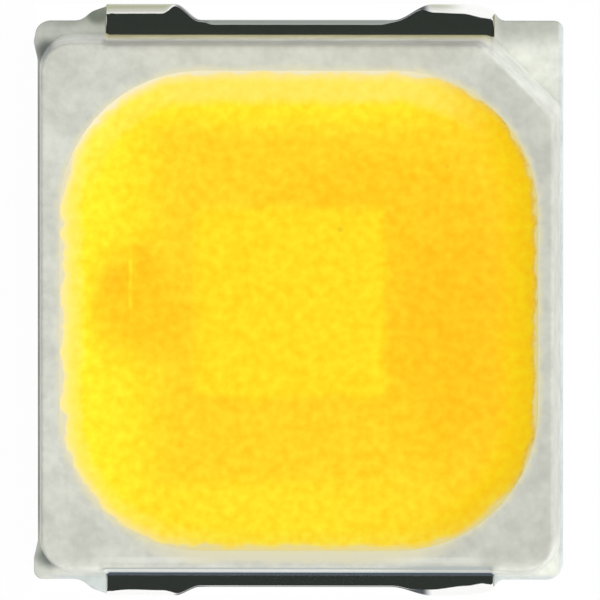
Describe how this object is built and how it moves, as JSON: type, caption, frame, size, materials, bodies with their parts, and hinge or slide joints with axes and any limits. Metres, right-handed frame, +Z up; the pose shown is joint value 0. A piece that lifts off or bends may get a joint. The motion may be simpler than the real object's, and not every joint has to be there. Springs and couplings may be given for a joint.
{
  "type": "light-emitting diode",
  "caption": "Square surface-mount light-emitting diode with a white moulded housing, a yellow phosphor window and flat solder pads.",
  "frame": {"origin": "middle of the solder face, at the bottom of the housing and leads", "axes": "+X across the leads, +Y from the anode lead to the cathode lead, +Z up out of the window. The chamfered corner is at +X +Y."},
  "size_m": [0.003, 0.0034, 0.0007],
  "materials": {
    "white_moulding": "matte grey-white reflective moulding compound",
    "plated_lead": "bright silver plating on stamped copper alloy",
    "phosphor_silicone": "phosphor-filled silicone, smooth and slightly glossy",
    "sapphire": "polished sapphire with a coated top",
    "adhesive": "cured die-attach adhesive",
    "gold": "gold",
    "silicon": "polished silicon"
  },
  "bodies": {
    "root": {"housing": "white_moulding", "cathode_lead": "plated_lead", "anode_lead": "plated_lead", "phosphor_encapsulant": "phosphor_silicone", "led_chip": "sapphire", "chip_attach": "adhesive", "p_electrode": "gold", "n_electrode": "gold", "zener_chip": "silicon", "zener_attach": "adhesive", "zener_pad": "gold", "cathode_wire_left": "gold", "anode_wire_left": "gold", "cathode_wire_right": "gold", "anode_wire_right": "gold", "zener_wire": "gold"}
  },
  "joints": []
}
